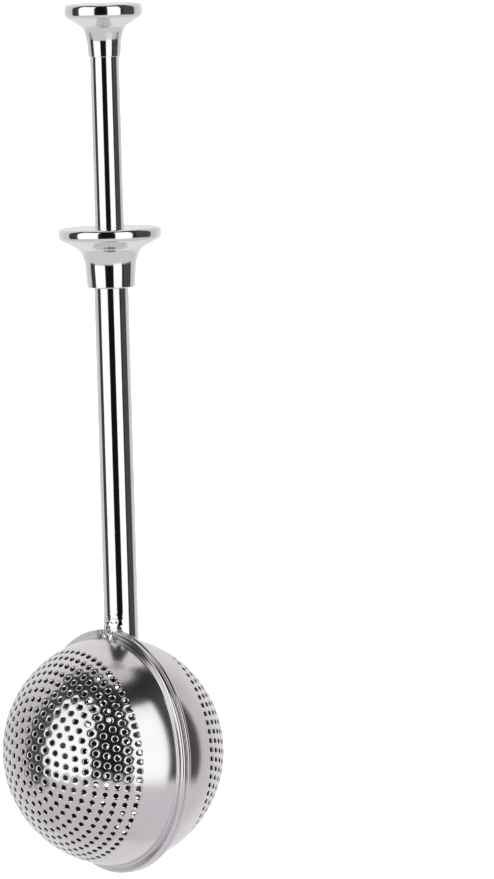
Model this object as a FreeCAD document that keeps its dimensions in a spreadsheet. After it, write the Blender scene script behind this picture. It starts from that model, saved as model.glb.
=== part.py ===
import FreeCAD, Part
import Sketcher
import math
import os
from FreeCAD import Vector

# Tea infuser: a split steel ball on a plunger. The outer tube carries the finger collar and the
# front half of the ball. The push tube slides inside it and carries the thumb knob and the rear half.
# +Z is up along the tubes, -Y is the front half's side, the halves part on the plane Y = 0,
# and the origin is the lowest point of the ball's rim. Lengths are in millimetres.

DIMENSIONS = {
    "ball_radius": 24.1,             # outside of each pressed cap
    "cap_setback": 1.26,             # how far each cap's centre lies beyond the parting plane
    "sheet_wall": 0.5,
    "rim_reach": 1.45,               # how far the rolled rim stands out past the cap's radius
    "rim_width": 1.2,                # thickness of one half's rolled rim
    "rim_rounding": 0.6,
    "rim_gap": 0.06,                 # running clearance between the two rims
    "tube_setback": 3.1,             # tube axis behind the parting plane
    "outer_tube_diameter": 7.2,
    "push_tube_diameter": 6.1,
    "push_tube_wall": 0.45,
    "running_gap": 0.08,             # radial, push tube in outer tube
    "foot_gap": 0.1,                 # outer tube's foot above the rear half
    "notch_margin": 0.35,            # clearance of the rims' notch around the outer tube
    "plug_length": 5.0,
    "bead_radius": 0.55,             # weld bead at the outer tube's foot
    "collar_rise": 96.7,             # collar's lower end above the ball's centre
    "collar_length": 12.45,
    "collar_radius": 10.7,
    "collar_edge": 1.3,              # rounding of the flange's edge
    "collar_flange": 2.25,           # thickness of the flange at its edge
    "collar_sleeve_radius": 5.0,
    "collar_sleeve_rounding": 0.3,
    "collar_waist_radius": 5.35,     # where the sleeve starts to flare
    "collar_waist_rise": 5.2,
    "collar_waist_rounding": 6.0,
    "collar_neck_radius": 6.3,       # where the flare turns out under the flange
    "collar_neck_rise": 7.95,
    "collar_neck_rounding": 3.5,
    "collar_lip": 1.3,               # closed top of the collar over the outer tube
    "lip_gap": 0.25,                 # radial, push tube in the collar's lip
    "stroke": 35.2,                  # travel of the knob down to the collar
    "stop_gap": 0.2,                 # left between knob and collar at the end of the travel
    "knob_length": 11.0,
    "knob_radius": 8.1,
    "knob_edge": 1.15,
    "knob_flange": 2.6,
    "knob_sleeve_radius": 3.35,
    "knob_sleeve_rounding": 0.12,
    "knob_waist_radius": 3.65,
    "knob_waist_rise": 3.4,
    "knob_waist_rounding": 5.0,
    "knob_neck_radius": 4.3,
    "knob_neck_rise": 6.0,
    "knob_neck_rounding": 1.5,
    "knob_crown": 3.2,               # solid metal above the push tube's end
}

doc = FreeCAD.newDocument("tea_infuser")
sheet = doc.addObject("Spreadsheet::Sheet", "Sizes")
for row, (name, value) in enumerate(DIMENSIONS.items(), start=1):
    sheet.set(f"A{row}", name)
    sheet.set(f"B{row}", str(value))
    sheet.setAlias(f"B{row}", name)
doc.recompute()


class Size:
    """A length with its value and the spreadsheet expression that gives it."""

    def __init__(self, value, text):
        self.value = value
        self.text = text

    def __add__(self, other):
        other = size(other)
        return Size(self.value + other.value, f"({self.text} + {other.text})")

    def __sub__(self, other):
        other = size(other)
        return Size(self.value - other.value, f"({self.text} - {other.text})")

    def __mul__(self, factor):
        return Size(self.value * factor, f"({self.text} * {factor})")

    def __neg__(self):
        return self * -1


def size(thing):
    """A Size from a spreadsheet alias, a bare number or a Size."""
    if isinstance(thing, Size):
        return thing
    if isinstance(thing, str):
        return Size(DIMENSIONS[thing], f"Sizes.{thing}")
    return Size(float(thing), f"{float(thing)}")


def leg(hypotenuse, other):
    """The remaining side of a right triangle, as where a plane cuts a sphere."""
    long_side, short_side = size(hypotenuse), size(other)
    value = math.sqrt(long_side.value ** 2 - short_side.value ** 2)
    return Size(value, f"sqrt({long_side.text} ^ 2 - {short_side.text} ^ 2)")


BALL = size("ball_radius")
SETBACK = size("cap_setback")
RIM = BALL + "rim_reach"
CENTRE_HEIGHT = RIM
TUBE_Y = size("tube_setback")
OUTER_RADIUS = size("outer_tube_diameter") * 0.5
PUSH_RADIUS = size("push_tube_diameter") * 0.5
COLLAR_FOOT = CENTRE_HEIGHT + "collar_rise"
COLLAR_TOP = COLLAR_FOOT + "collar_length"
KNOB_FOOT = COLLAR_TOP + "stroke" + "stop_gap"
KNOB_TOP = KNOB_FOOT + "knob_length"
TUBE_START = CENTRE_HEIGHT + BALL * 0.8    # inside the ball, where a tube is drawn before its foot is coped
PAST = 1.2                                 # how far a cutting tool reaches past what it cuts
NEAR_ZERO = 1e-9
ORIGIN_POINT = (-1, 1)
ACROSS_AXIS = -1
UP_AXIS = -2


def bind(thing, **sizes):
    """Binds properties, named with __ for a dot, to expressions."""
    for name, length in sizes.items():
        thing.setExpression(name.replace("__", "."), size(length).text)
    return thing


def place(thing, across=None, depth=None, height=None):
    """Binds the position of an object to expressions."""
    for axis, length in (("x", across), ("y", depth), ("z", height)):
        if length is not None:
            thing.setExpression(f"Placement.Base.{axis}", size(length).text)
    return thing


def origin_plane(body, role):
    return next(f for f in body.Origin.OriginFeatures if f.Role == role)


def fix_point(sketch, index, end, across, up):
    """Holds one point of a sketch at a distance from the sketch's origin, both ways."""
    for length, kind, axis in ((across, "DistanceX", UP_AXIS), (up, "DistanceY", ACROSS_AXIS)):
        if abs(length.value) < NEAR_ZERO:
            sketch.addConstraint(Sketcher.Constraint("PointOnObject", index, end, axis))
            continue
        datum = Sketcher.Constraint(kind, *ORIGIN_POINT, index, end, length.value)
        number = sketch.addConstraint(datum)
        sketch.setExpression(f"Constraints[{number}]", length.text)


def bind_radius(sketch, index, radius):
    number = sketch.addConstraint(Sketcher.Constraint("Radius", index, radius.value))
    sketch.setExpression(f"Constraints[{number}]", radius.text)


def arc_between(start, end, radius, centre):
    """The short arc between two points about a centre, always drawn anticlockwise."""
    first = math.atan2(start.y - centre.y, start.x - centre.x)
    last = math.atan2(end.y - centre.y, end.x - centre.x)
    if (last - first) % (2 * math.pi) > math.pi:
        first, last = last, first
    circle = Part.Circle(centre, Vector(0, 0, 1), radius)
    return Part.ArcOfCircle(circle, first, first + (last - first) % (2 * math.pi))


def corner_points(before, corner, after, radius):
    """Where a rounding of this radius leaves the two straight sides that meet at a corner."""
    to_before = (before - corner).normalize()
    to_after = (after - corner).normalize()
    half_angle = to_before.getAngle(to_after) / 2
    reach = radius / math.tan(half_angle)
    centre = corner + (to_before + to_after).normalize() * (radius / math.sin(half_angle))
    return corner + to_before * reach, corner + to_after * reach, centre


def draw_outline(sketch, corners):
    """Draws a closed outline. A corner is (across, up, rounding or None, (arc radius, arc centre) or
    None), and the arc, if there is one, runs from this corner to the next."""
    points = [Vector(across.value, up.value, 0) for across, up, rounding, arc in corners]
    count = len(corners)
    leave = list(points)
    arrive = list(points)
    centres = {}
    for i, (across, up, rounding, arc) in enumerate(corners):
        if rounding is not None:
            arrive[i], leave[i], centres[i] = corner_points(
                points[i - 1], points[i], points[(i + 1) % count], rounding.value
            )
    sides = []
    for i, (across, up, rounding, arc) in enumerate(corners):
        start, end = leave[i], arrive[(i + 1) % count]
        if arc is None:
            sides.append(sketch.addGeometry(Part.LineSegment(start, end)))
        else:
            sides.append(sketch.addGeometry(arc_between(start, end, arc[0].value, arc[1])))
            bind_radius(sketch, sides[-1], arc[0])
    for i, (across, up, rounding, arc) in enumerate(corners):
        before, after = sides[i - 1], sides[i]
        before_end = end_at(sketch, before, arrive[i])
        after_end = end_at(sketch, after, leave[i])
        if rounding is None:
            sketch.addConstraint(
                Sketcher.Constraint("Coincident", before, before_end, after, after_end)
            )
            fix_point(sketch, after, after_end, across, up)
            continue
        mark = sketch.addGeometry(Part.Point(points[i]), True)
        fix_point(sketch, mark, 1, across, up)
        sketch.addConstraint(Sketcher.Constraint("PointOnObject", mark, 1, before))
        sketch.addConstraint(Sketcher.Constraint("PointOnObject", mark, 1, after))
        bend = sketch.addGeometry(
            arc_between(arrive[i], leave[i], rounding.value, centres[i])
        )
        bend_start = end_at(sketch, bend, arrive[i])
        bend_end = end_at(sketch, bend, leave[i])
        sketch.addConstraint(Sketcher.Constraint("Tangent", before, before_end, bend, bend_start))
        sketch.addConstraint(Sketcher.Constraint("Tangent", bend, bend_end, after, after_end))
        bind_radius(sketch, bend, rounding)


def end_at(sketch, index, point):
    """1 if the geometry starts at this point, and 2 if it ends there."""
    geometry = sketch.Geometry[index]
    starts_here = geometry.StartPoint.distanceToPoint(point) < geometry.EndPoint.distanceToPoint(point)
    return 1 if starts_here else 2


def turned_body(name, role, axis, corners):
    """A body turned about one of its sketch's axes from a closed outline."""
    body = doc.addObject("PartDesign::Body", name)
    sketch = body.newObject("Sketcher::SketchObject", name + "_outline")
    sketch.AttachmentSupport = [(origin_plane(body, role), "")]
    sketch.MapMode = "FlatFace"
    draw_outline(sketch, corners)
    doc.recompute()
    turned = body.newObject("PartDesign::Revolution", name + "_turned")
    turned.Profile = sketch
    turned.ReferenceAxis = (sketch, [axis])
    turned.Angle = 360
    return body


def plain(across, up):
    return (size(across), size(up), None, None)


def rounded(across, up, radius):
    return (size(across), size(up), size(radius), None)


def curved(across, up, radius, centre):
    return (size(across), size(up), None, (size(radius), centre))


def cylinder(name, radius, foot, top):
    """An upright cylinder on the tubes' axis."""
    solid = doc.addObject("Part::Cylinder", name)
    bind(solid, Radius=radius, Height=size(top) - foot)
    return place(solid, depth=TUBE_Y, height=foot)


def sphere(name, radius, depth):
    """A sphere at the height of the ball's centre."""
    solid = doc.addObject("Part::Sphere", name)
    bind(solid, Radius=radius)
    return place(solid, depth=depth, height=CENTRE_HEIGHT)


def cut(name, base, tool):
    result = doc.addObject("Part::Cut", name)
    result.Base = base
    result.Tool = tool
    return result


def half_ball(name, side):
    """One pressed cap with its rolled rim. side is -1 for the front half and 1 for the rear half."""
    inner = BALL - "sheet_wall"
    face = size("rim_gap") * 0.5
    width = size("rim_width")
    centre = Vector(-side * SETBACK.value, 0, 0)
    pressing = turned_body(
        name + "_pressing",
        "YZ_Plane",
        "H_Axis",
        [
            plain((inner - SETBACK) * side, 0),
            curved((BALL - SETBACK) * side, 0, BALL, centre),
            plain(width * side, leg(BALL, width + SETBACK)),
            rounded(width * side, RIM, "rim_rounding"),
            plain(face * side, RIM),
            curved(face * side, leg(inner, face + SETBACK), inner, centre),
        ],
    )
    place(pressing, height=CENTRE_HEIGHT)
    notch_radius = OUTER_RADIUS + "notch_margin"
    post = cylinder(name + "_notch_post", notch_radius, CENTRE_HEIGHT, CENTRE_HEIGHT + RIM * PAST)
    ball = sphere(name + "_notch_ball", BALL, SETBACK * -side)
    notch = cut(name + "_notch", post, ball)
    return cut(name, pressing, notch)


def outer_tube():
    """The fixed tube. Its foot is coped to the ball, a small gap above the rear half."""
    top = COLLAR_TOP - "collar_lip"
    bar = cylinder("outer_tube_bar", OUTER_RADIUS, TUBE_START, top)
    bore = cylinder("outer_tube_bore", PUSH_RADIUS + "running_gap", TUBE_START, top)
    pipe = cut("outer_tube_pipe", bar, bore)
    cope = sphere("outer_tube_cope", BALL + "foot_gap", -SETBACK)
    return cut("outer_tube", pipe, cope)


def push_tube():
    """The sliding tube, from the rear half's skin up into the knob."""
    top = KNOB_TOP - "knob_crown"
    bar = cylinder("push_tube_bar", PUSH_RADIUS, TUBE_START, top)
    bore = cylinder("push_tube_bore", PUSH_RADIUS - "push_tube_wall", TUBE_START, top)
    pipe = cut("push_tube_pipe", bar, bore)
    cope = sphere("push_tube_cope", BALL, -SETBACK)
    return cut("push_tube", pipe, cope)


def push_tube_plug():
    """The solid plug that closes the push tube's foot and is welded to the rear half."""
    top = CENTRE_HEIGHT + BALL + "plug_length"
    bar = cylinder("plug_bar", PUSH_RADIUS - "push_tube_wall", TUBE_START, top)
    cope = sphere("plug_cope", BALL, -SETBACK)
    return cut("push_tube_plug", bar, cope)


def foot_weld(front_half):
    """The bead that joins the outer tube's foot to the front half, in front of the parting plane."""
    bead = doc.addObject("Part::Torus", "bead_ring")
    bind(bead, Radius1=OUTER_RADIUS, Radius2="bead_radius")
    place(bead, depth=TUBE_Y, height=CENTRE_HEIGHT + BALL + "foot_gap")
    front = doc.addObject("Part::Box", "bead_front")
    reach = OUTER_RADIUS + "bead_radius"
    bind(front, Length=reach * 2, Width=reach, Height=reach * 2)
    place(
        front,
        across=-reach,
        depth=-(reach + size("rim_gap") * 0.5),
        height=CENTRE_HEIGHT + BALL - reach,
    )
    crescent = doc.addObject("Part::Common", "bead_crescent")
    crescent.Base = bead
    crescent.Tool = front
    over_ball = cut("bead_over_ball", crescent, sphere("bead_ball", BALL, SETBACK))
    post = cylinder("bead_post", OUTER_RADIUS, CENTRE_HEIGHT, CENTRE_HEIGHT + RIM * PAST)
    round_tube = cut("bead_round_tube", over_ball, post)
    return cut("foot_weld", round_tube, front_half)


def trumpet(name, bore):
    """A turned trumpet with a thick rounded flange. bore holds the corners of its inside, top first."""
    length = size(name + "_length")
    radius = size(name + "_radius")
    edge = size(name + "_edge")
    return turned_body(
        {"collar": "finger_collar", "knob": "thumb_knob"}[name],
        "XZ_Plane",
        "V_Axis",
        bore
        + [
            rounded(name + "_sleeve_radius", 0, name + "_sleeve_rounding"),
            rounded(name + "_waist_radius", name + "_waist_rise", name + "_waist_rounding"),
            rounded(name + "_neck_radius", name + "_neck_rise", name + "_neck_rounding"),
            rounded(radius, length - (name + "_flange"), edge),
            rounded(radius, length, edge),
        ],
    )


def finger_collar():
    """The trumpet-shaped collar, pressed on the outer tube. Its lip closes the top over the tube."""
    length = size("collar_length")
    shelf = length - "collar_lip"
    lip_radius = PUSH_RADIUS + "lip_gap"
    bore = [
        plain(lip_radius, length),
        plain(lip_radius, shelf),
        plain(OUTER_RADIUS, shelf),
        plain(OUTER_RADIUS, 0),
    ]
    return place(trumpet("collar", bore), depth=TUBE_Y, height=COLLAR_FOOT)


def thumb_knob():
    """The trumpet-shaped knob, fixed on the push tube's top, with a flat crown for the thumb."""
    length = size("knob_length")
    shelf = length - "knob_crown"
    bore = [plain(0, length), plain(0, shelf), plain(PUSH_RADIUS, shelf), plain(PUSH_RADIUS, 0)]
    return place(trumpet("knob", bore), depth=TUBE_Y, height=KNOB_FOOT)


FRONT_HALF = half_ball("front_half", -1)
SUBPARTS = {
    "front_half": FRONT_HALF,
    "rear_half": half_ball("rear_half", 1),
    "outer_tube": outer_tube(),
    "foot_weld": foot_weld(FRONT_HALF),
    "finger_collar": finger_collar(),
    "push_tube": push_tube(),
    "push_tube_plug": push_tube_plug(),
    "thumb_knob": thumb_knob(),
}
for label, subpart in SUBPARTS.items():
    subpart.Label = label
doc.recompute()

for thing in doc.Objects:
    if "Invalid" in thing.State or "Error" in thing.State:
        raise RuntimeError(f"{thing.Label} could not be computed")
for label, subpart in SUBPARTS.items():
    shape = subpart.Shape
    if shape.isNull() or not shape.isValid() or not shape.Solids:
        raise RuntimeError(f"{label} has no valid solid")

os.makedirs("parts", exist_ok=True)
for label, subpart in SUBPARTS.items():
    subpart.Shape.exportStep(f"parts/{label}.step")
    solids = len(subpart.Shape.Solids)
    print(label, "solids", solids, "volume", round(subpart.Shape.Volume, 2), subpart.Shape.BoundBox)
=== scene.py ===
"""Tea infuser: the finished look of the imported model, laid out as a Blender add-on and run as a script.

Each operator makes one piece or group of like pieces around the fixed frame, in metres, +Z up along the
tubes, with the front half of the ball on the -Y side of the parting plane.
"""

import math

import bmesh
import bpy
from bpy.props import FloatProperty, FloatVectorProperty, IntProperty, PointerProperty
from mathutils import Matrix, Quaternion, Vector, noise


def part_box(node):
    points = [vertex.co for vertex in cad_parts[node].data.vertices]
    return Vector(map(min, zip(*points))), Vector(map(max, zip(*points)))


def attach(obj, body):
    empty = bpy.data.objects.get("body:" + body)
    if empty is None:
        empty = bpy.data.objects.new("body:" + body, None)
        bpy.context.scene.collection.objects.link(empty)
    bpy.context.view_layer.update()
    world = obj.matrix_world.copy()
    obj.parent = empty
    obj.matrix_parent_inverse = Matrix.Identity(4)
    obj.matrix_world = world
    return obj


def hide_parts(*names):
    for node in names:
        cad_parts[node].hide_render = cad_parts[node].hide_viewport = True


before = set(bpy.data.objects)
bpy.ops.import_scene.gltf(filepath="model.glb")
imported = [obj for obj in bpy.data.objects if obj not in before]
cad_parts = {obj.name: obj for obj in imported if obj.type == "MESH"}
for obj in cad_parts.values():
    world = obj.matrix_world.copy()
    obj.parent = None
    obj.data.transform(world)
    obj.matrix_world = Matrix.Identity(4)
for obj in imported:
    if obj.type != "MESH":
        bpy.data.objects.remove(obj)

bl_info = {
    "name": "Tea Infuser Finish",
    "version": (1, 0, 0),
    "blender": (4, 5, 0),
    "location": "View3D > Sidebar > Infuser",
    "description": "Builds a tea infuser with a perforated ball, its steel finishes and a studio",
    "category": "Object",
}

MM = 0.001
MERGE_DISTANCE = 0.002 * MM
SHARP_ANGLE = math.radians(38)
CELL_MERGE_DISTANCE = 0.02 * MM
NOTCH_FADE = 0.3 * MM
LIP_SHARE = 0.85
# Depths under the ball's skin over which the painted shade on a drain hole's wall fades in
HOLE_SHADE_DEPTHS = (0.08 * MM, 0.19 * MM)
# Depths under the ball's skin over which the painted shade on the ball's inside fades in
INNER_SHADE_DEPTHS = (0.46 * MM, 0.49 * MM)
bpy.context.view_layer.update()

RIM_LOW, RIM_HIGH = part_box("front_half")
REAR_LOW, REAR_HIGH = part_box("rear_half")
TUBE_LOW, TUBE_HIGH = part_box("outer_tube")
PUSH_LOW, PUSH_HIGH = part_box("push_tube")
COLLAR_LOW, COLLAR_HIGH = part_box("finger_collar")
KNOB_LOW, KNOB_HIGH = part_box("thumb_knob")

RIM_RADIUS = (RIM_HIGH.x - RIM_LOW.x) / 2
BALL_CENTRE = Vector((0, 0, RIM_LOW.z + RIM_RADIUS))
CAP_DEPTH = REAR_HIGH.y
RIM_FACE = REAR_LOW.y
TUBE_RADIUS = (TUBE_HIGH.x - TUBE_LOW.x) / 2
TUBE_Y = (TUBE_LOW.y + TUBE_HIGH.y) / 2
PUSH_RADIUS = (PUSH_HIGH.x - PUSH_LOW.x) / 2
COLLAR_RADIUS = (COLLAR_HIGH.x - COLLAR_LOW.x) / 2
KNOB_RADIUS = (KNOB_HIGH.x - KNOB_LOW.x) / 2


# ---------------------------------------------------------------- settings


def length(name, text, value):
    return FloatProperty(
        name=name, description=text, default=value, min=0.0, unit="LENGTH", precision=5
    )


def turn(name, text, degrees):
    return FloatProperty(name=name, description=text, default=math.radians(degrees), subtype="ANGLE")


def share(name, text, value):
    return FloatProperty(name=name, description=text, default=value, min=0.0, max=1.0, subtype="FACTOR")


def colour(name, text, value):
    return FloatVectorProperty(
        name=name, description=text, default=value, size=3, min=0.0, max=1.0, subtype="COLOR"
    )


class InfuserBallSettings(bpy.types.PropertyGroup):
    """Sizes of the pressed caps and of their drain holes."""

    cap_radius: length("Cap radius", "Outside radius of each pressed cap", 24.1 * MM)
    sheet_wall: length("Sheet wall", "Thickness of the pressed sheet", 0.5 * MM)
    rim_width: length("Rim width", "Thickness of one half's rolled rim", 1.2 * MM)
    rim_rounding: length("Rim rounding", "Rounding of the rim's outer edge", 0.6 * MM)
    rim_fillet: length("Rim fillet", "Hollow where the cap turns out into its rim", 0.4 * MM)
    notch_margin: length("Notch margin", "Clearance of the rim's notch around the outer tube", 0.35 * MM)
    weld_gap: length("Weld gap", "Break in the front rim that the weld fills", 4.6 * MM)
    hole_rings: IntProperty(
        name="Hole rings", description="Rings of holes around the middle one", default=12, min=1
    )
    ring_step: turn("Ring step", "Polar angle from one ring of holes to the next", 5.33)
    pattern_turn: turn("Pattern turn", "Turn of the hole pattern about the cap's axis", 46.7)
    hole_radius: length("Hole radius", "Radius of a drain hole", 0.52 * MM)
    dimple_radius: length("Dimple radius", "Outer radius of the rolled-in edge of a hole", 0.84 * MM)
    dimple_depth: length("Dimple depth", "Depth of the rolled-in edge of a hole", 0.17 * MM)


class InfuserHandleSettings(bpy.types.PropertyGroup):
    """Sizes of the tubes, the collar and the knob that the frame's boxes don't give."""

    running_gap: length("Running gap", "Push tube in outer tube, radial", 0.08 * MM)
    push_wall: length("Push tube wall", "Wall of the push tube", 0.45 * MM)
    foot_gap: length("Foot gap", "Outer tube's foot above the rear half", 0.1 * MM)
    collar_sleeve: length("Collar sleeve", "Radius of the collar's sleeve at its lower end", 5.0 * MM)
    collar_waist: length("Collar waist", "Radius where the collar's sleeve starts to flare", 5.35 * MM)
    collar_waist_rise: length("Collar waist rise", "Height of that place above its foot", 5.2 * MM)
    collar_neck: length("Collar neck", "Radius where the flare turns out under the flange", 6.3 * MM)
    collar_neck_rise: length("Collar neck rise", "Height of that place above its foot", 7.95 * MM)
    collar_flange: length("Collar flange", "Thickness of the collar's flange at its edge", 2.25 * MM)
    collar_edge: length("Collar edge", "Rounding of the collar's flange", 1.3 * MM)
    collar_lip: length("Collar lip", "Closed top of the collar", 1.3 * MM)
    lip_gap: length("Lip gap", "Push tube in the collar's lip, radial", 0.25 * MM)
    knob_sleeve: length("Knob sleeve", "Radius of the knob's sleeve at its lower end", 3.35 * MM)
    knob_waist: length("Knob waist", "Radius where the knob's sleeve starts to flare", 3.65 * MM)
    knob_waist_rise: length("Knob waist rise", "Height of that place above its foot", 3.4 * MM)
    knob_neck: length("Knob neck", "Radius where the flare turns out under the flange", 4.3 * MM)
    knob_neck_rise: length("Knob neck rise", "Height of that place above its foot", 6.0 * MM)
    knob_flange: length("Knob flange", "Thickness of the knob's flange at its edge", 2.6 * MM)
    knob_edge: length("Knob edge", "Rounding of the knob's flange", 1.15 * MM)
    knob_crown: length("Knob crown", "Solid metal above the push tube", 3.2 * MM)
    bead_radius: length("Weld bead", "Half the width of the weld at the outer tube's foot", 0.8 * MM)
    bead_span: turn("Weld span", "Angle that the weld covers round the outer tube's foot", 74)
    run_length: length("Weld run", "How far the weld metal runs down the front half", 3.0 * MM)
    run_heading: turn("Weld run heading", "Direction in which the weld metal runs down the cap", -38)
    run_offset: length("Weld run offset", "Top of the weld's run beside the tubes' axis", 1.9 * MM)
    spatter_height: length("Spatter height", "How far weld spatter reaches up the outer tube", 5.5 * MM)
    spatter_depth: length("Spatter depth", "Thickness of the weld spatter", 0.28 * MM)
    turning_segments: IntProperty(
        name="Segments", description="Facets around a turned piece", default=128, min=32
    )


class InfuserFinishSettings(bpy.types.PropertyGroup):
    """Colours and gloss of the two steel finishes."""

    polished: colour("Polished steel", "Mirror-polished stainless steel", (0.86, 0.855, 0.86))
    polished_smudge: colour("Polished smudge", "Polished steel under a faint film", (0.78, 0.77, 0.775))
    satin: colour("Satin steel", "Satin stainless sheet", (0.785, 0.762, 0.785))
    # Painted shade: wall_shade colours the drain holes' walls nearly black, where little light reaches into
    # them
    wall_shade: colour("Wall shade", "Steel in the shade of a drain hole", (0.03, 0.029, 0.03))
    # Painted shade: inner_shade colours the ball's inside darker than its outer skin, where little light
    # reaches; the steel is the same
    inner_shade: colour("Inner shade", "Painted shade on the steel inside the ball", (0.3, 0.29, 0.295))
    satin_dull: colour("Dull satin steel", "Satin sheet where the finish is duller", (0.7, 0.677, 0.7))
    heat_tint: colour("Heat tint", "Oxide colour beside the weld", (0.36, 0.27, 0.24))
    polished_roughness: share("Polished roughness", "Blur of reflections in polished steel", 0.07)
    satin_roughness: share("Satin roughness", "Blur of reflections in satin steel", 0.13)


class InfuserStageSettings(bpy.types.PropertyGroup):
    """Floor, light and camera."""

    floor_drop: length("Floor drop", "Floor below the ball, which hangs clear of it", 130 * MM)
    floor_radius: length("Floor radius", "Flat part of the floor", 6.0)
    floor_colour: colour("Floor colour", "Pale seamless floor", (0.93, 0.93, 0.93))
    view_azimuth: turn("View azimuth", "Camera's turn round the object from the front", 52.3)
    view_elevation: turn("View elevation", "Camera's height above the horizon", 5.3)
    view_roll: turn("View roll", "Lean of the picture", 1.6)
    view_height: length("View height", "Height of the picture at the object", 183.2 * MM)
    aim_right: length("Aim right", "Middle of the picture to the right of the ball's centre", 27.9 * MM)
    aim_up: length("Aim up", "Middle of the picture above the ball's centre", 64.9 * MM)
    lens: FloatProperty(
        name="Lens", description="Long lens that keeps the tubes parallel", default=295.0, min=50.0
    )


# ---------------------------------------------------------------- node helpers


class NodeBench:
    """Adds nodes to a tree, with plain numbers or sockets as their inputs."""

    def __init__(self, tree):
        self.tree = tree
        self.tree.nodes.clear()

    def add(self, kind, inputs=None, **settings):
        node = self.tree.nodes.new(kind)
        for name, value in settings.items():
            setattr(node, name, value)
        for key, value in (inputs or {}).items():
            self.feed(node.inputs[key], value)
        return node

    def feed(self, socket, value):
        if isinstance(value, bpy.types.NodeSocket):
            self.tree.links.new(value, socket)
        else:
            socket.default_value = value

    def math(self, operation, first, second=0.0, third=None):
        inputs = {0: first, 1: second}
        if third is not None:
            inputs[2] = third
        return self.add("ShaderNodeMath", inputs, operation=operation).outputs[0]

    def times(self, first, second):
        return self.math("MULTIPLY", first, second)

    def vector(self, operation, first, second=None):
        inputs = {0: first}
        if second is not None:
            inputs["Scale" if operation == "SCALE" else 1] = second
        node = self.add("ShaderNodeVectorMath", inputs, operation=operation)
        return node.outputs["Value" if operation in ("DOT_PRODUCT", "LENGTH") else "Vector"]

    def combine(self, x, y, z):
        return self.add("ShaderNodeCombineXYZ", {0: x, 1: y, 2: z}).outputs[0]

    def separate(self, vector):
        return self.add("ShaderNodeSeparateXYZ", {0: vector}).outputs

    def between(self, value, low, high, low_soft, high_soft):
        """1 where value lies between low and high, fading over a stretch at each end."""
        rise = self.smooth(value, low - low_soft / 2, low + low_soft / 2)
        fall = self.smooth(value, high - high_soft / 2, high + high_soft / 2)
        return self.math("SUBTRACT", rise, fall)

    def smooth(self, value, low, high):
        node = self.add(
            "ShaderNodeMapRange",
            {"Value": value, "From Min": low, "From Max": high},
            interpolation_type="SMOOTHSTEP",
        )
        return node.outputs[0]

    def blend(self, factor, first, second):
        node = self.add("ShaderNodeMix", data_type="RGBA")
        for socket, value in ((node.inputs[0], factor), (node.inputs[6], first), (node.inputs[7], second)):
            self.feed(socket, value)
        return node.outputs[2]


def add_sockets(tree, way, kind, *names):
    for name in names:
        tree.interface.new_socket(name, in_out=way, socket_type="NodeSocket" + kind)


def placed(name, data):
    """A new object in the scene."""
    thing = bpy.data.objects.new(name, data)
    bpy.context.scene.collection.objects.link(thing)
    return thing


def rgba(colour_value):
    return (*colour_value, 1.0)


# ---------------------------------------------------------------- finishes


def worked_steel_group():
    """Shared marks of worked steel: a smudge mask, a varying roughness and the height of its grain."""
    name = "Worked steel marks"
    if name in bpy.data.node_groups:
        return bpy.data.node_groups[name]
    group = bpy.data.node_groups.new(name, "ShaderNodeTree")
    bench = NodeBench(group)
    for socket, kind, value in (
        ("Position", "NodeSocketVector", None),
        ("Grain Stretch", "NodeSocketVector", (1.0, 1.0, 1.0)),
        ("Grain Scale", "NodeSocketFloat", 4000.0),
        ("Smudge Scale", "NodeSocketFloat", 90.0),
        ("Base Roughness", "NodeSocketFloat", 0.1),
        ("Roughness Spread", "NodeSocketFloat", 0.05),
    ):
        made = group.interface.new_socket(socket, in_out="INPUT", socket_type=kind)
        if value is not None:
            made.default_value = value
    add_sockets(group, "OUTPUT", "Float", "Smudge", "Roughness", "Height")
    given = bench.add("NodeGroupInput").outputs
    stretched = bench.vector("MULTIPLY", given["Position"], given["Grain Stretch"])
    grain = bench.add(
        "ShaderNodeTexNoise",
        {"Vector": stretched, "Scale": given["Grain Scale"], "Detail": 3.0, "Roughness": 0.6},
    ).outputs[0]
    cloud = bench.add(
        "ShaderNodeTexNoise",
        {"Vector": given["Position"], "Scale": given["Smudge Scale"], "Detail": 4.0, "Roughness": 0.55},
    ).outputs[0]
    smudge = bench.smooth(cloud, 0.42, 0.72)
    uneven = bench.math("ADD", bench.times(grain, 0.5), bench.times(smudge, 0.5))
    roughness = bench.math(
        "MULTIPLY_ADD", uneven, given["Roughness Spread"], given["Base Roughness"]
    )
    out = bench.add("NodeGroupOutput")
    for socket, value in (("Smudge", smudge), ("Roughness", roughness), ("Height", grain)):
        bench.feed(out.inputs[socket], value)
    return group


def cap_setback(ball):
    """How far each cap's centre lies beyond the parting plane."""
    return ball.cap_radius - CAP_DEPTH


def ball_depth(bench, position):
    """How deep a point lies under the ball's outer skin."""
    ball = bpy.context.scene.infuser_ball
    depth_axis = bench.separate(position)[1]
    centre_y = bench.times(bench.math("SIGN", depth_axis), -cap_setback(ball))
    centre = bench.combine(0.0, centre_y, BALL_CENTRE.z)
    away = bench.vector("LENGTH", bench.vector("SUBTRACT", position, centre))
    return bench.math("SUBTRACT", ball.cap_radius, away)


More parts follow.
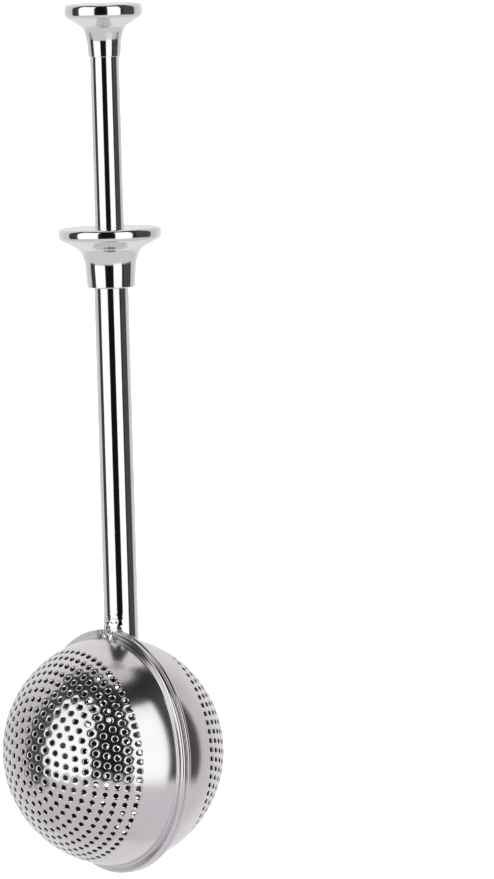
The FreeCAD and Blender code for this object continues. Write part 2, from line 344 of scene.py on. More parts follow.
def steel(
    name, bright, dull, roughness, spread, stretch, grain_scale, smudge_scale, bump, tint=None, inner=None
):
    """A steel finish. tint is (colour, centre, reach) for the oxide beside a weld, and inner holds the
    colours of the painted shade on the drain holes' walls and on the ball's inside."""
    material = bpy.data.materials.get(name)
    if material:
        return material
    material = bpy.data.materials.new(name)
    material.use_nodes = True
    bench = NodeBench(material.node_tree)
    position = bench.add("ShaderNodeTexCoord").outputs["Object"]
    marks = bench.add(
        "ShaderNodeGroup",
        {
            "Position": position,
            "Grain Stretch": stretch,
            "Grain Scale": grain_scale,
            "Smudge Scale": smudge_scale,
            "Base Roughness": roughness,
            "Roughness Spread": spread,
        },
        node_tree=worked_steel_group(),
    )
    base = bench.blend(marks.outputs["Smudge"], rgba(bright), rgba(dull))
    if tint:
        tint_colour, centre, reach = tint
        away = bench.vector("LENGTH", bench.vector("SUBTRACT", position, tuple(centre)))
        ragged = bench.math("MULTIPLY_ADD", marks.outputs["Height"], reach * 0.5, away)
        near = bench.math("SUBTRACT", 1.0, bench.smooth(ragged, reach * 0.35, reach * 1.25))
        base = bench.blend(bench.times(near, 0.6), base, rgba(tint_colour))
    if inner:
        wall_shade_colour, inner_shade_colour = inner
        depth = ball_depth(bench, position)
        # Painted shade: the drain holes' walls darken to the wall colour with depth under the skin
        painted_hole_shade = bench.smooth(depth, *HOLE_SHADE_DEPTHS)
        inside = bench.smooth(depth, *INNER_SHADE_DEPTHS)
        base = bench.blend(painted_hole_shade, base, rgba(wall_shade_colour))
        # Painted shade: the ball's inside, deeper than the sheet's wall, darkens to the inner colour
        base = bench.blend(inside, base, rgba(inner_shade_colour))
    relief = bench.add(
        "ShaderNodeBump", {"Height": marks.outputs["Height"], "Strength": 1.0, "Distance": bump}
    )
    shader = bench.add(
        "ShaderNodeBsdfPrincipled",
        {
            "Base Color": base,
            "Metallic": 1.0,
            "Roughness": marks.outputs["Roughness"],
            "Normal": relief.outputs[0],
        },
    )
    out = bench.add("ShaderNodeOutputMaterial")
    bench.feed(out.inputs["Surface"], shader.outputs[0])
    return material


def bright_steel(name, stretch, smudge_scale, bump):
    """Mirror-polished steel with fine marks that run one way."""
    look = bpy.context.scene.infuser_finish
    return steel(
        name,
        look.polished,
        look.polished_smudge,
        look.polished_roughness,
        spread=0.05,
        stretch=stretch,
        grain_scale=9000.0,
        smudge_scale=smudge_scale,
        bump=bump,
    )


def polished_steel():
    return bright_steel("Polished steel", stretch=(1.0, 1.0, 0.04), smudge_scale=70.0, bump=0.4e-6)


def turned_steel():
    return bright_steel("Turned steel", stretch=(0.12, 0.12, 1.0), smudge_scale=110.0, bump=0.3e-6)


def satin_steel():
    look = bpy.context.scene.infuser_finish
    weld = BALL_CENTRE + Vector((0, -0.5 * MM, RIM_RADIUS))
    return steel(
        "Satin steel",
        look.satin,
        look.satin_dull,
        look.satin_roughness,
        spread=0.08,
        stretch=(1.0, 1.0, 1.0),
        grain_scale=5200.0,
        smudge_scale=60.0,
        bump=1.2e-6,
        tint=(look.heat_tint, weld, 5.0 * MM),
        inner=(look.wall_shade, look.inner_shade),
    )


# ---------------------------------------------------------------- mesh helpers


def finished(name, shape, material, body, slot, *nodes):
    """Turns a closed shape's faces outward, smooths it, gives it its finish and rides it on its body."""
    if shape.calc_volume(signed=True) < 0:
        bmesh.ops.reverse_faces(shape, faces=shape.faces)
    for edge in shape.edges:
        edge.smooth = edge.calc_face_angle(0.0) < SHARP_ANGLE
    for face in shape.faces:
        face.smooth = True
    mesh = bpy.data.meshes.new(name)
    shape.to_mesh(mesh)
    shape.free()
    mesh.materials.append(material)
    piece = placed(name, mesh)
    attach(piece, body)
    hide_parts(*nodes)
    return piece


def bent(start, corner, end, steps):
    """Points of a curve from start to end that heads for the corner at both of its ends."""
    shares = [step / steps for step in range(steps + 1)]
    return [start * (1 - t) ** 2 + corner * 2 * t * (1 - t) + end * t**2 for t in shares]


def rounded_outline(corners, steps):
    """Points of an outline whose corners are (radius, height, rounding)."""
    points = []
    count = len(corners)
    for i, (across, up, rounding) in enumerate(corners):
        corner = Vector((across, up))
        if not rounding:
            points.append(corner)
            continue
        before = Vector(corners[i - 1][:2]) - corner
        after = Vector(corners[(i + 1) % count][:2]) - corner
        to_before, to_after = before.normalized(), after.normalized()
        half_angle = to_before.angle(to_after) / 2
        reach = min(rounding / math.tan(half_angle), before.length * 0.49, after.length * 0.49)
        start, end = corner + to_before * reach, corner + to_after * reach
        points += bent(start, corner, end, steps)
    return points


def round_row(shape, across, height, segments, centre_y=0.0):
    """A ring of vertices about an upright axis, or one vertex on the axis."""
    if across < 1e-7:
        return [shape.verts.new((0, centre_y, height))]
    row = []
    for i in range(segments):
        angle = 2 * math.pi * i / segments
        spot = (across * math.cos(angle), centre_y + across * math.sin(angle), height)
        row.append(shape.verts.new(spot))
    return row


def bridge(shape, rows):
    """Faces between each row of vertices and the next. A row may be a single vertex."""
    for row, following in zip(rows, rows[1:]):
        count = max(len(row), len(following))
        if count == 1:
            continue
        for i in range(count):
            j = (i + 1) % count
            corners = [row[i % len(row)], row[j % len(row)]]
            corners += [following[j % len(following)], following[i % len(following)]]
            shape.faces.new(list(dict.fromkeys(corners)))


def turned(outline, segments, foot):
    """A shape turned about the tubes' axis from a closed outline, which may start on the axis."""
    shape = bmesh.new()
    rows = [round_row(shape, across, foot + up, segments, TUBE_Y) for across, up in outline]
    bridge(shape, rows + rows[:1])
    bmesh.ops.recalc_face_normals(shape, faces=shape.faces)
    return shape


def weld_spatter(across, away, share_of_height):
    """Thickness, from 0 to 1, of the splashed weld metal on the front of the outer tube's foot."""
    front_reach, fineness, rings, octave = math.radians(68), 4.2, 9.0, 2.3
    bearing = math.atan2(away, across)
    off_front = abs((bearing + math.pi / 2 + math.pi) % (2 * math.pi) - math.pi)
    side = max(0.0, 1 - (off_front / front_reach) ** 4)
    up = max(0.0, 1 - share_of_height**1.5)
    spot = Vector((bearing * fineness, share_of_height * rings, 1.7))
    lumps = noise.noise(spot) + 0.5 * noise.noise(spot * octave)
    return side * up * max(0.0, 0.45 + 0.8 * lumps)


def skin_height(x, y, radius, centre_y):
    """Height of a sphere's upper side above a point of the plan."""
    return BALL_CENTRE.z + math.sqrt(radius**2 - x**2 - (y - centre_y) ** 2)


# ---------------------------------------------------------------- perforated caps


def hole_cell(ball, pitch):
    """One hexagonal cell of the sheet with its hole, flat and centred, as a template for the pattern.

    The attribute "local" is a vertex's place in the cell, "round" is 1 where it belongs to the round hole
    and 0 on the cell's border, and "rise" is its height from the outer skin.
    """
    wall = ball.sheet_wall
    deep = ball.dimple_depth
    wide, narrow = ball.dimple_radius, ball.hole_radius
    levels = [
        (None, 0.0),
        (wide, 0.0),
        (narrow + (wide - narrow) * 0.55, -deep * 0.2),
        (narrow + (wide - narrow) * 0.2, -deep * 0.6),
        (narrow, -deep * 1.05),
        (narrow, -wall),
        (None, -wall),
    ]
    corners = 12
    mesh = bpy.data.meshes.new("hole_cell")
    local, is_round, rises = [], [], []
    for radius, rise in levels:
        for i in range(corners):
            angle = 2 * math.pi * i / corners + math.pi / 6
            border = pitch / math.sqrt(3) if i % 2 == 0 else pitch / 2
            reach = border if radius is None else radius
            local.append((reach * math.cos(angle), reach * math.sin(angle), 0.0))
            is_round.append(0.0 if radius is None else 1.0)
            rises.append(rise)
    faces = []
    for level in range(len(levels) - 1):
        for i in range(corners):
            j = (i + 1) % corners
            a, b = level * corners, (level + 1) * corners
            faces.append((a + i, a + j, b + j, b + i))
    mesh.from_pydata(local, [], faces)
    for name, kind, field, values in (
        ("local", "FLOAT_VECTOR", "vector", [number for spot in local for number in spot]),
        ("round", "FLOAT", "value", is_round),
        ("rise", "FLOAT", "value", rises),
    ):
        mesh.attributes.new(name, kind, "POINT").data.foreach_set(field, values)
    return placed("hole_cell", mesh)


def dome_direction_group():
    """Bends the flat hexagonal pattern into rings: a flat point gives a direction from the cap's centre."""
    group = bpy.data.node_groups.new("Flat pattern to dome", "GeometryNodeTree")
    bench = NodeBench(group)
    add_sockets(group, "INPUT", "Vector", "Flat")
    add_sockets(group, "INPUT", "Float", "Pitch", "Ring Step", "Last Ring", "Turn")
    add_sockets(group, "OUTPUT", "Vector", "Outward", "Along", "Around", "Flat Cosine Sine")
    given = bench.add("NodeGroupInput").outputs
    x, y, _ = bench.separate(given["Flat"])
    reach = bench.vector("LENGTH", given["Flat"])
    bearing = bench.math("ARCTAN2", y, x)
    sector_width = math.pi / 3
    in_sectors = bench.math("SUBTRACT", bench.math("DIVIDE", bearing, sector_width), 0.5)
    sector = bench.math("ADD", bench.math("ROUND", in_sectors), 0.5)
    middle = bench.times(sector, sector_width)
    off_middle = bench.math("SUBTRACT", bearing, middle)
    depth = bench.times(reach, bench.math("COSINE", off_middle))
    slide = bench.math("TANGENT", off_middle)
    along_side = bench.times(slide, sector_width / 2 / math.tan(sector_width / 2))
    row_height = bench.times(given["Pitch"], math.sqrt(3) / 2)
    ring = bench.math("MINIMUM", bench.math("DIVIDE", depth, row_height), given["Last Ring"])
    polar = bench.times(ring, given["Ring Step"])
    flat_turn = bench.math("ADD", middle, along_side)
    azimuth = bench.math("ADD", flat_turn, given["Turn"])
    sin_p, cos_p = bench.math("SINE", polar), bench.math("COSINE", polar)
    sin_a, cos_a = bench.math("SINE", azimuth), bench.math("COSINE", azimuth)
    outward = bench.combine(
        bench.times(sin_p, cos_a), bench.times(sin_p, sin_a), cos_p
    )
    along = bench.combine(
        bench.times(cos_p, cos_a),
        bench.times(cos_p, sin_a),
        bench.times(sin_p, -1.0),
    )
    around = bench.combine(bench.times(sin_a, -1.0), cos_a, 0.0)
    flat = bench.combine(bench.math("COSINE", flat_turn), bench.math("SINE", flat_turn), 0.0)
    out = bench.add("NodeGroupOutput")
    for socket, value in zip(out.inputs, (outward, along, around, flat)):
        bench.feed(socket, value)
    return group


def perforation_tree():
    """Geometry nodes that lay out the cells, cut to a hexagon, and press the sheet into a dome."""
    name = "Pressed perforations"
    if name in bpy.data.node_groups:
        return bpy.data.node_groups[name]
    tree = bpy.data.node_groups.new(name, "GeometryNodeTree")
    bench = NodeBench(tree)
    add_sockets(tree, "OUTPUT", "Geometry", "Geometry")
    add_sockets(tree, "INPUT", "Object", "Cell")
    add_sockets(tree, "INPUT", "Float", "Pitch", "Ring Step", "Cap Radius", "Turn")
    add_sockets(tree, "INPUT", "Int", "Rings")
    add_sockets(tree, "INPUT", "Material", "Finish")
    given = bench.add("NodeGroupInput").outputs
    across = bench.math("MULTIPLY_ADD", given["Rings"], 2.0, 1.0)
    side = bench.times(bench.times(given["Rings"], 2.0), given["Pitch"])
    grid = bench.add(
        "GeometryNodeMeshGrid",
        {"Size X": side, "Size Y": side, "Vertices X": across, "Vertices Y": across},
    ).outputs["Mesh"]
    x, y, _ = bench.separate(bench.add("GeometryNodeInputPosition").outputs[0])
    diagonal = bench.math("ABSOLUTE", bench.math("ADD", x, y))
    limit = bench.times(bench.math("ADD", given["Rings"], 0.5), given["Pitch"])
    outside = bench.add(
        "FunctionNodeCompare", {0: diagonal, 1: limit}, data_type="FLOAT", operation="GREATER_THAN"
    ).outputs[0]
    kept = bench.add(
        "GeometryNodeDeleteGeometry", {"Geometry": grid, "Selection": outside}, domain="POINT"
    ).outputs[0]
    x, y, _ = bench.separate(bench.add("GeometryNodeInputPosition").outputs[0])
    lattice_spot = bench.combine(
        bench.math("MULTIPLY_ADD", y, 0.5, x), bench.times(y, math.sqrt(3) / 2), 0.0
    )
    lattice = bench.add(
        "GeometryNodeSetPosition", {"Geometry": kept, "Position": lattice_spot}
    ).outputs[0]
    marked = bench.add(
        "GeometryNodeStoreNamedAttribute",
        {
            "Geometry": lattice,
            "Name": "cell_centre",
            "Value": bench.add("GeometryNodeInputPosition").outputs[0],
        },
        data_type="FLOAT_VECTOR",
        domain="POINT",
    ).outputs[0]
    cell = bench.add("GeometryNodeObjectInfo", {"Object": given["Cell"]}).outputs["Geometry"]
    cells = bench.add("GeometryNodeInstanceOnPoints", {"Points": marked, "Instance": cell}).outputs[0]
    sheet = bench.add("GeometryNodeRealizeInstances", {"Geometry": cells}).outputs[0]

    def named(attribute, kind):
        return bench.add(
            "GeometryNodeInputNamedAttribute", {"Name": attribute}, data_type=kind
        ).outputs["Attribute"]

    centre, local = named("cell_centre", "FLOAT_VECTOR"), named("local", "FLOAT_VECTOR")
    is_round, rise = named("round", "FLOAT"), named("rise", "FLOAT")
    on_border = bench.math("SUBTRACT", 1.0, is_round)
    flat = bench.vector("ADD", centre, bench.vector("SCALE", local, on_border))
    last_ring = bench.math("ADD", given["Rings"], 1 / 3)
    dome = bench.add(
        "GeometryNodeGroup",
        {
            "Flat": flat,
            "Pitch": given["Pitch"],
            "Ring Step": given["Ring Step"],
            "Last Ring": last_ring,
            "Turn": given["Turn"],
        },
        node_tree=dome_direction_group(),
    )
    outward, along, around, bearing = dome.outputs
    swung = bench.combine(
        bench.vector("DOT_PRODUCT", local, bearing),
        bench.vector("DOT_PRODUCT", local, bench.vector("CROSS_PRODUCT", (0.0, 0.0, 1.0), bearing)),
        0.0,
    )
    along_by, around_by, _ = bench.separate(bench.vector("SCALE", swung, is_round))
    offset = bench.vector(
        "ADD", bench.vector("SCALE", along, along_by), bench.vector("SCALE", around, around_by)
    )
    tangent_spot = bench.vector("ADD", bench.vector("SCALE", outward, given["Cap Radius"]), offset)
    skin = bench.vector(
        "SCALE", bench.vector("NORMALIZE", tangent_spot), bench.math("ADD", given["Cap Radius"], rise)
    )
    pressed = bench.add("GeometryNodeSetPosition", {"Geometry": sheet, "Position": skin}).outputs[0]
    joined = bench.add(
        "GeometryNodeMergeByDistance", {"Geometry": pressed, "Distance": CELL_MERGE_DISTANCE}
    ).outputs[0]
    painted = bench.add(
        "GeometryNodeSetMaterial", {"Geometry": joined, "Material": given["Finish"]}
    ).outputs[0]
    out = bench.add("NodeGroupOutput")
    bench.feed(out.inputs[0], painted)
    return tree


def perforated_dome(ball):
    """The perforated part of a cap as a plain mesh: pole on +Z, cap's centre at the origin."""
    pitch = ball.cap_radius * ball.ring_step
    cell = hole_cell(ball, pitch)
    tree = perforation_tree()
    carrier = placed("dome_carrier", bpy.data.meshes.new("dome_carrier"))
    modifier = carrier.modifiers.new("Perforations", "NODES")
    modifier.node_group = tree
    values = {
        "Cell": cell,
        "Pitch": pitch,
        "Ring Step": ball.ring_step,
        "Cap Radius": ball.cap_radius,
        "Turn": ball.pattern_turn,
        "Rings": ball.hole_rings,
        "Finish": satin_steel(),
    }
    for item in tree.interface.items_tree:
        if item.in_out == "INPUT":
            modifier[item.identifier] = values[item.name]
    evaluated = carrier.evaluated_get(bpy.context.evaluated_depsgraph_get())
    mesh = bpy.data.meshes.new_from_object(evaluated)
    for spare in (carrier.data, cell.data):
        bpy.data.meshes.remove(spare)
    return mesh


def cap_outline(ball, setback, start_polar):
    """Outline of the plain band and rolled rim, as (height over the parting plane, radius, is the rim)."""
    outer, inner = ball.cap_radius, ball.cap_radius - ball.sheet_wall
    width, fillet = ball.rim_width, ball.rim_fillet
    band_end = math.acos((width + fillet * 0.75 + setback) / outer)
    band_steps, arc_steps = 12, 6
    points = []
    for step in range(1, band_steps + 1):
        polar = start_polar + (band_end - start_polar) * step / band_steps
        points.append((outer * math.cos(polar) - setback, outer * math.sin(polar), False))
    hollow_start = Vector(points[-1][:2])
    hollow_end = Vector((width, math.sqrt(outer**2 - (width + setback) ** 2) + fillet))
    hollow_corner = Vector((width, math.sqrt(outer**2 - (width + setback) ** 2)))
    hollow = bent(hollow_start, hollow_corner, hollow_end, arc_steps)
    points += [(spot.x, spot.y, True) for spot in hollow[1:]]
    edge = ball.rim_rounding
    for step in range(arc_steps + 1):
        angle = math.pi / 2 * step / arc_steps
        points.append(
            (width - edge + edge * math.cos(angle), RIM_RADIUS - edge + edge * math.sin(angle), True)
        )
    lip = edge * LIP_SHARE
    for step in range(arc_steps + 1):
        angle = math.pi / 2 * step / arc_steps
        points.append(
            (RIM_FACE + lip - lip * math.sin(angle), RIM_RADIUS - lip + lip * math.cos(angle), True)
        )
    points.append((RIM_FACE, math.sqrt(outer**2 - (RIM_FACE + setback) ** 2), True))
    points.append((RIM_FACE, math.sqrt(inner**2 - (RIM_FACE + setback) ** 2), False))
    band_end = math.acos((RIM_FACE + setback) / inner)
    for step in range(1, band_steps):
        polar = band_end + (start_polar - band_end) * step / band_steps
        points.append((inner * math.cos(polar) - setback, inner * math.sin(polar), False))
    return points


def crowded(azimuth, share_of_way):
    """Draws azimuths together near the top of the rim, where its notch needs more points."""
    off_top = (azimuth - math.pi / 2 + math.pi) % (2 * math.pi) - math.pi
    strength, spread = 0.62, 0.9
    pull = strength * math.sin(off_top) * math.exp(-((off_top / spread) ** 2))
    return azimuth - pull * share_of_way


def lumpy_strand(stops, seed, around=20):
    """A closed strand of weld metal in front of the rim's face, from (centre, sideways, radius) stops."""
    pace, girth, lumpiness, tall = 0.24, 0.8, 0.45, 1.25
    shape = bmesh.new()
    rows = []
    for i, (centre, sideways, radius) in enumerate(stops):
        row = []
        for j in range(around):
            bend = 2 * math.pi * j / around
            grain = Vector((i * pace + seed, math.cos(bend) * girth, math.sin(bend) * girth))
            section = sideways * math.cos(bend) + Vector((0, 0, tall)) * math.sin(bend)
            spot = centre + section * radius * (1 + lumpiness * noise.noise(grain))
            spot.y = min(spot.y, -RIM_FACE)
            row.append(shape.verts.new(spot))
        rows.append(row)
    bridge(shape, rows)
    for row in (rows[0], rows[-1]):
        shape.faces.new(row)
    bmesh.ops.recalc_face_normals(shape, faces=shape.faces)
    return shape


def half_ball(ball, side):
    """One cap with holes, plain band and rolled rim. side is -1 for the front half, 1 for the rear half."""
    setback = cap_setback(ball)
    shape = bmesh.new()
    dome = perforated_dome(ball)
    shape.from_mesh(dome)
    bpy.data.meshes.remove(dome)
    middle = ball.cap_radius - ball.sheet_wall / 2
    border = {v for e in shape.edges if e.is_boundary for v in e.verts}
    loops = [[v for v in border if (v.co.length > middle) == outer] for outer in (True, False)]
    for loop in loops:
        loop.sort(key=lambda v: math.atan2(v.co.y, v.co.x))
    start_polar = math.acos(loops[0][0].co.z / loops[0][0].co.length)
    azimuths = [math.atan2(v.co.y, v.co.x) for v in loops[0]]
    outline = cap_outline(ball, setback, start_polar)
    notch = TUBE_RADIUS + ball.notch_margin
    rows = [loops[0]]
    rim_rows = [i for i, point in enumerate(outline) if point[2]]
    first_rim, last_rim = rim_rows[0], rim_rows[-1]
    for i, (height, radius, is_rim) in enumerate(outline):
        way = min(1.0, (i + 1) / first_rim, (len(outline) - i) / (len(outline) - last_rim))
        tube_away = TUBE_Y - height * side
        half_width = math.sqrt(max(notch**2 - tube_away**2, 0.0))
        if side < 0:
            half_width = max(half_width, ball.weld_gap / 2)
        row = []
        for azimuth in azimuths:
            angle = crowded(azimuth, way) if side < 0 else math.pi - crowded(math.pi - azimuth, way)
            reach = radius
            if is_rim and math.sin(angle) > 0:
                skin = math.sqrt(ball.cap_radius**2 - (height + setback) ** 2)
                beyond = (abs(radius * math.cos(angle)) - half_width) / NOTCH_FADE
                keep = min(max(beyond, 0.0), 1.0)
                reach = skin + (radius - skin) * keep * keep * (3 - 2 * keep)
            spot = (reach * math.cos(angle), reach * math.sin(angle), height + setback)
            row.append(shape.verts.new(spot))
        rows.append(row)
    rows.append(loops[1])
    bridge(shape, rows)
    bmesh.ops.remove_doubles(shape, verts=shape.verts, dist=MERGE_DISTANCE)
    bmesh.ops.dissolve_degenerate(shape, edges=shape.edges, dist=MERGE_DISTANCE)
    axes = Matrix(((-side, 0, 0), (0, 0, side), (0, 1, 0))).to_4x4()
    place = Matrix.Translation(BALL_CENTRE + Vector((0, -side * setback, 0))) @ axes
    shape.transform(place)
    bmesh.ops.recalc_face_normals(shape, faces=shape.faces)
    return shape


# ---------------------------------------------------------------- operators


class INFUSER_OT_caps(bpy.types.Operator):
    """Make the two perforated halves of the ball with their rolled rims"""

    bl_idname = "infuser.caps"
    bl_label = "Perforated caps"

    def execute(self, context):
        ball = context.scene.infuser_ball
        for name, side, body in (("front_cap", -1, "handle"), ("rear_cap", 1, "plunger")):
            node = name.replace("cap", "half")
            finished(name, half_ball(ball, side), satin_steel(), body, "satin_steel", node)
        return {"FINISHED"}


class INFUSER_OT_outer_tube(bpy.types.Operator):
    """Make the fixed tube with its foot shaped to the ball"""

    bl_idname = "infuser.outer_tube"
    bl_label = "Outer tube"

    def execute(self, context):
        sizes = context.scene.infuser_handle
        ball = context.scene.infuser_ball
        setback = cap_setback(ball)
        bore = PUSH_RADIUS + sizes.running_gap
        top, break_edge = TUBE_HIGH.z, 0.1 * MM
        rows, spatter = 44, sizes.spatter_height
        corners = [(bore, 0, 0), (TUBE_RADIUS, 0, break_edge)]
        corners += [(TUBE_RADIUS, spatter * (i + 1) / rows, 0) for i in range(rows)]
        corners += [(TUBE_RADIUS, top, break_edge), (bore, top, 0), (bore, spatter, 0)]
        outline = rounded_outline(corners, 3)
        shape = turned(outline, sizes.turning_segments, 0)
        for vert in shape.verts:
            if vert.co.z < spatter * 1.01:
                across, away = vert.co.x, vert.co.y - TUBE_Y
                if math.hypot(across, away) > TUBE_RADIUS - break_edge * 0.1:
                    thick = weld_spatter(across, away, vert.co.z / spatter) * sizes.spatter_depth
                    vert.co.x += across / TUBE_RADIUS * thick
                    vert.co.y += away / TUBE_RADIUS * thick
                reach = ball.cap_radius + sizes.foot_gap
                fade = 1 - vert.co.z / spatter
                low = skin_height(across, away + TUBE_Y, reach, -setback)
                vert.co.z += BALL_CENTRE.z + reach + (low - BALL_CENTRE.z - reach) * fade
        finished("outer_sleeve", shape, polished_steel(), "handle", "polished_steel", "outer_tube")
        return {"FINISHED"}


class INFUSER_OT_push_tube(bpy.types.Operator):
    """Make the sliding tube that joins the knob to the rear half"""

    bl_idname = "infuser.push_tube"
    bl_label = "Push tube"

    def execute(self, context):
        sizes = context.scene.infuser_handle
        ball = context.scene.infuser_ball
        setback = cap_setback(ball)
        bore = PUSH_RADIUS - sizes.push_wall
        top, foot_band = PUSH_HIGH.z, 3 * MM
        outline = [(bore, 0), (PUSH_RADIUS, 0), (PUSH_RADIUS, foot_band)]
        outline += [(PUSH_RADIUS, top), (bore, top), (bore, foot_band)]
        shape = turned(outline, sizes.turning_segments, 0)
        for vert in shape.verts:
            if vert.co.z < foot_band / 2:
                vert.co.z += skin_height(vert.co.x, vert.co.y, ball.cap_radius, -setback)
            elif vert.co.z < foot_band * 2:
                vert.co.z += BALL_CENTRE.z + ball.cap_radius
        finished("push_rod", shape, polished_steel(), "plunger", "polished_steel", "push_tube")
        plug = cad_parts["push_tube_plug"]
        plug.data.materials.clear()
        plug.data.materials.append(satin_steel())
        return {"FINISHED"}


class INFUSER_OT_collar(bpy.types.Operator):
    """Make the trumpet-shaped finger collar"""

    bl_idname = "infuser.collar"
    bl_label = "Finger collar"

    def execute(self, context):
        sizes = context.scene.infuser_handle
        tall = COLLAR_HIGH.z - COLLAR_LOW.z
        edge = sizes.collar_edge
        lip_bore = PUSH_RADIUS + sizes.lip_gap
        shelf = tall - sizes.collar_lip
        outline = rounded_outline(
            [
                (lip_bore, tall, 0.15 * MM),
                (lip_bore, shelf, 0),
                (TUBE_RADIUS, shelf, 0),
                (TUBE_RADIUS, 0, 0.1 * MM),
                (sizes.collar_sleeve, 0, 0.3 * MM),
                (sizes.collar_waist, sizes.collar_waist_rise, 6 * MM),
                (sizes.collar_neck, sizes.collar_neck_rise, 3.5 * MM),
                (COLLAR_RADIUS, tall - sizes.collar_flange, edge),
                (COLLAR_RADIUS, tall, edge),
            ],
            12,
        )
        shape = turned(outline, sizes.turning_segments, COLLAR_LOW.z)
        finished("collar", shape, turned_steel(), "handle", "polished_steel", "finger_collar")
        return {"FINISHED"}


class INFUSER_OT_knob(bpy.types.Operator):
    """Make the trumpet-shaped thumb knob"""

    bl_idname = "infuser.knob"
    bl_label = "Thumb knob"

    def execute(self, context):
        sizes = context.scene.infuser_handle
        tall = KNOB_HIGH.z - KNOB_LOW.z
        edge = sizes.knob_edge
        shelf = tall - sizes.knob_crown
        outline = rounded_outline(
            [
                (0, tall, 0),
                (0, shelf, 0),
                (PUSH_RADIUS, shelf, 0),
                (PUSH_RADIUS, 0, 0),
                (sizes.knob_sleeve, 0, 0.12 * MM),
                (sizes.knob_waist, sizes.knob_waist_rise, 5 * MM),
                (sizes.knob_neck, sizes.knob_neck_rise, 2.5 * MM),
                (KNOB_RADIUS, tall - sizes.knob_flange, edge),
                (KNOB_RADIUS, tall, edge),
            ],
            12,
        )
        shape = turned(outline, sizes.turning_segments, KNOB_LOW.z)
        finished("knob", shape, turned_steel(), "plunger", "polished_steel", "thumb_knob")
        return {"FINISHED"}


class INFUSER_OT_weld(bpy.types.Operator):
    """Lay the weld bead between the outer tube's foot and the front half"""

    bl_idname = "infuser.weld"
    bl_label = "Foot weld"

    def execute(self, context):
        sizes = context.scene.infuser_handle
        ball = context.scene.infuser_ball
        setback = cap_setback(ball)
        bead, steps = [], 60
        for i in range(steps + 1):
            way = 2 * i / steps - 1
            angle = -math.pi / 2 + sizes.bead_span / 2 * way
            out = Vector((math.cos(angle), math.sin(angle), 0))
            foot = Vector((0, TUBE_Y, 0)) + out * TUBE_RADIUS
            foot.z = skin_height(foot.x, foot.y, ball.cap_radius, setback)
            bead.append((foot, out, sizes.bead_radius * math.sqrt(max(1 - way**4, 0.02))))
        run, steps = [], 48
        heading = Vector((math.cos(sizes.run_heading), math.sin(sizes.run_heading), 0))
        sideways = Vector((-heading.y, heading.x, 0))
        top = Vector((sizes.run_offset, -sizes.bead_radius * 0.6, 0))
        for i in range(steps + 1):
            down = i / steps
            spot = top + heading * sizes.run_length * down
            spot.z = skin_height(spot.x, spot.y, ball.cap_radius, setback)
            swell = 1.3 - 0.9 * down + 0.12 * math.sin(down * 6 * math.pi)
            ends = math.sqrt(max(1 - (2 * down - 1) ** 6, 0.03))
            run.append((spot, sideways, sizes.bead_radius * swell * ends))
        for name, stops, seed in (("weld_bead", bead, 0), ("weld_run", run, 5)):
            strand = lumpy_strand(stops, seed)
            finished(name, strand, polished_steel(), "handle", "polished_steel", "foot_weld")
        return {"FINISHED"}


class INFUSER_OT_stage(bpy.types.Operator):
    """Set up the pale floor, the studio light and the camera"""

    bl_idname = "infuser.stage"
    bl_label = "Stage"

    def execute(self, context):
        stage = context.scene.infuser_stage
        make_floor(stage)
        make_light(stage)
        make_camera(stage)
        context.scene.view_settings.view_transform = "Standard"
        return {"FINISHED"}


def make_floor(stage):
    """A seamless floor that sweeps up far away, the same from every side."""
    sweep, wall, steps, glow = 2.0, 4.0, 12, 0.45
    outline = [(0.0, 0.0), (stage.floor_radius, 0.0)]
    for step in range(1, steps + 1):
        angle = math.pi / 2 * step / steps
        outline.append((stage.floor_radius + sweep * math.sin(angle), sweep - sweep * math.cos(angle)))
    outline.append((stage.floor_radius + sweep, sweep + wall))
    shape = bmesh.new()
    segments = 96
    bridge(shape, [round_row(shape, across, up - stage.floor_drop, segments) for across, up in outline])
    bmesh.ops.recalc_face_normals(shape, faces=shape.faces)
    bmesh.ops.reverse_faces(shape, faces=shape.faces)
    mesh = bpy.data.meshes.new("floor")
    shape.to_mesh(mesh)
    shape.free()
    mesh.shade_smooth()
    material = bpy.data.materials.new("Pale floor")
    material.use_nodes = True
    shader = material.node_tree.nodes["Principled BSDF"]
    shader.inputs["Base Color"].default_value = rgba(stage.floor_colour)
    shader.inputs["Roughness"].default_value = 0.9
    shader.inputs["Emission Color"].default_value = (1, 1, 1, 1)
    shader.inputs["Emission Strength"].default_value = glow
    mesh.materials.append(material)
    floor = placed("floor", mesh)
    floor.visible_glossy = False
    floor.visible_shadow = False


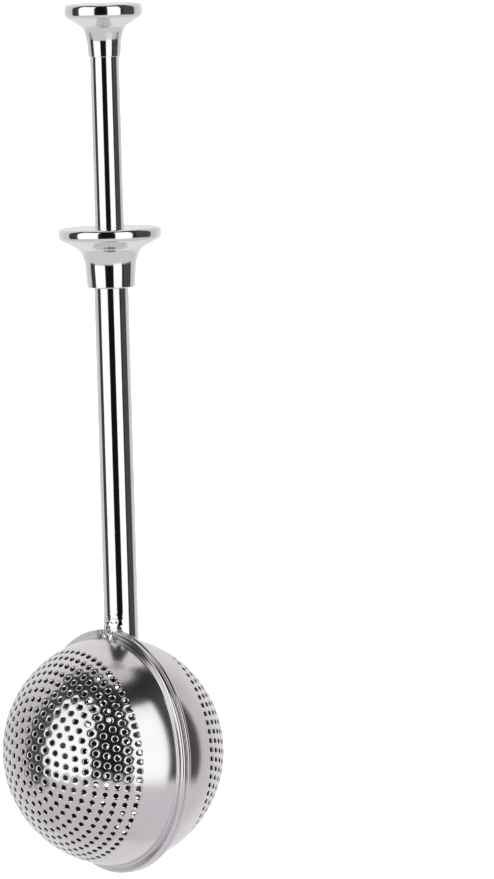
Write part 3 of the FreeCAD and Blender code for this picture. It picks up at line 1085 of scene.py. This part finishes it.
def make_light(stage):
    """Studio light as a world: two white soft boxes with dark gaps about them in a pale grey room."""
    world = bpy.data.worlds.new("Studio")
    world.use_nodes = True
    bench = NodeBench(world.node_tree)
    direction = bench.add("ShaderNodeTexCoord").outputs["Generated"]
    toward_camera = stage.view_azimuth - math.pi / 2
    turned_to = bench.add(
        "ShaderNodeVectorRotate",
        {"Vector": direction, "Angle": -toward_camera},
        rotation_type="Z_AXIS",
    ).outputs[0]
    x, y, z = bench.separate(turned_to)
    degree = math.radians(1)
    height = bench.math("DIVIDE", bench.math("ARCSINE", z), degree)
    azimuth = bench.math("DIVIDE", bench.math("ARCTAN2", y, x), degree)
    light = rgba((0.66, 0.645, 0.66))
    behind = bench.smooth(bench.math("ABSOLUTE", azimuth), 118.0, 150.0)
    light = bench.blend(behind, light, rgba((0.82, 0.81, 0.82)))
    # (left, right, low, high, colour, strength, softness of the sides, of the low end, of the high end)
    patches = (
        (-120, 128, 50, 77, (0.008, 0.008, 0.008), 0.97, 16, 5, 8),
        (-103, -75, -22, 60, (0.03, 0.029, 0.03), 0.97, 4, 10, 10),
        (52, 106, -22, 60, (0.055, 0.05, 0.05), 0.97, 6, 10, 10),
        (52, 63, -22, 60, (0.012, 0.011, 0.012), 0.85, 4, 10, 10),
        (-27, 16, -22, 60, (0.006, 0.006, 0.006), 1.0, 2.5, 8, 10),
        (-76, -26, -18, 49, (1.25, 1.25, 1.25), 1.0, 2.5, 5, 4),
        (14, 53, -26, 49, (1.25, 1.25, 1.25), 1.0, 2.5, 18, 4),
    )
    for left, right, low, high, shade, strength, side_soft, low_soft, high_soft in patches:
        across = bench.between(azimuth, left, right, side_soft, side_soft)
        upright = bench.between(height, low, high, low_soft, high_soft)
        inside = bench.times(across, upright)
        light = bench.blend(bench.times(inside, strength), light, rgba(shade))
    backing = bench.add("ShaderNodeBackground", {"Color": light, "Strength": 1.0})
    out = bench.add("ShaderNodeOutputWorld")
    bench.feed(out.inputs["Surface"], backing.outputs[0])
    bpy.context.scene.world = world
    sun = bpy.data.lights.new("Ceiling light", "SUN")
    sun.energy, sun.angle = 2.2, math.radians(70)
    placed("Ceiling light", sun).visible_glossy = False


def make_camera(stage):
    """A far camera with a long lens, turned and rolled as the object is seen."""
    azimuth, elevation = stage.view_azimuth, stage.view_elevation
    back = Vector(
        (
            math.sin(azimuth) * math.cos(elevation),
            -math.cos(azimuth) * math.cos(elevation),
            math.sin(elevation),
        )
    )
    data = bpy.data.cameras.new("Camera")
    data.lens = stage.lens
    distance = stage.view_height * data.lens / data.sensor_width
    data.clip_start, data.clip_end = distance * 0.1, distance * 20
    camera = placed("Camera", data)
    camera.rotation_mode = "QUATERNION"
    level = (-back).to_track_quat("-Z", "Y")
    camera.rotation_quaternion = level @ Quaternion((0, 0, 1), -stage.view_roll)
    right = camera.rotation_quaternion @ Vector((1, 0, 0))
    up = camera.rotation_quaternion @ Vector((0, 1, 0))
    camera.location = BALL_CENTRE + right * stage.aim_right + up * stage.aim_up + back * distance
    bpy.context.scene.camera = camera


class INFUSER_PT_panel(bpy.types.Panel):
    """Lists the pieces of the infuser and their sizes"""

    bl_idname = "INFUSER_PT_panel"
    bl_label = "Tea infuser"
    bl_space_type = "VIEW_3D"
    bl_region_type = "UI"
    bl_category = "Infuser"

    def draw(self, context):
        for group, operators in PANEL_ROWS:
            box = self.layout.box()
            settings = getattr(context.scene, group)
            for operator in operators:
                box.operator(operator.bl_idname)
            for name in settings.bl_rna.properties.keys():
                if name not in ("rna_type", "name"):
                    box.prop(settings, name)


SETTINGS = {
    "infuser_ball": InfuserBallSettings,
    "infuser_handle": InfuserHandleSettings,
    "infuser_finish": InfuserFinishSettings,
    "infuser_stage": InfuserStageSettings,
}
PANEL_ROWS = (
    ("infuser_ball", (INFUSER_OT_caps,)),
    (
        "infuser_handle",
        (
            INFUSER_OT_outer_tube,
            INFUSER_OT_push_tube,
            INFUSER_OT_collar,
            INFUSER_OT_knob,
            INFUSER_OT_weld,
        ),
    ),
    ("infuser_finish", ()),
    ("infuser_stage", (INFUSER_OT_stage,)),
)
OPERATORS = [operator for group, operators in PANEL_ROWS for operator in operators]
CLASSES = (*SETTINGS.values(), *OPERATORS, INFUSER_PT_panel)


def register():
    for cls in CLASSES:
        bpy.utils.register_class(cls)
    for name, settings in SETTINGS.items():
        setattr(bpy.types.Scene, name, PointerProperty(type=settings))


def unregister():
    for name in SETTINGS:
        delattr(bpy.types.Scene, name)
    for cls in reversed(CLASSES):
        bpy.utils.unregister_class(cls)


def main():
    register()
    bpy.ops.infuser.caps()
    bpy.ops.infuser.outer_tube()
    bpy.ops.infuser.push_tube()
    bpy.ops.infuser.collar()
    bpy.ops.infuser.knob()
    bpy.ops.infuser.weld()
    bpy.ops.infuser.stage()


if __name__ == "__main__":
    main()
